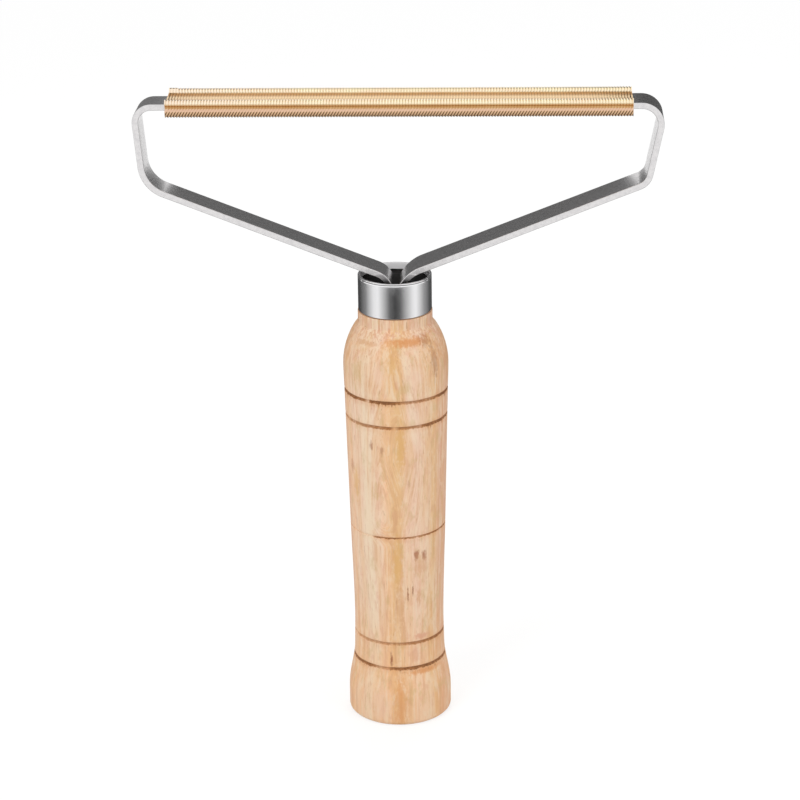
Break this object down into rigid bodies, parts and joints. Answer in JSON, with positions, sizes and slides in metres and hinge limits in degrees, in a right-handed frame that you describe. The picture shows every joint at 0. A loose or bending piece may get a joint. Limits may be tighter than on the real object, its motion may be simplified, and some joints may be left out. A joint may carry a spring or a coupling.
{
  "type": "manual lint shaver",
  "caption": "Hand tool with a turned wooden handle, a steel ferrule, a bent flat-steel loop and a ribbed brass comb sleeve across its top.",
  "frame": {"origin": "centre of the handle's flat foot, on the turned handle's axis", "axes": "+Z along the handle's axis towards the head, +X across the head, -Y to the front"},
  "size_m": [0.1504, 0.031, 0.1931],
  "materials": {
    "pale_wood": "bare, fine-sanded, with burnt turned grooves",
    "polished_steel": "polished",
    "strap_steel": "satin, cold rolled",
    "comb_brass": "bright, crimped into fine ribs",
    "dark_resin": "cast, uneven"
  },
  "bodies": {
    "root": {"wooden_handle": "pale_wood", "ferrule": "polished_steel", "strap_frame": "strap_steel", "comb_sleeve": "comb_brass", "socket_resin": "dark_resin"}
  },
  "joints": []
}
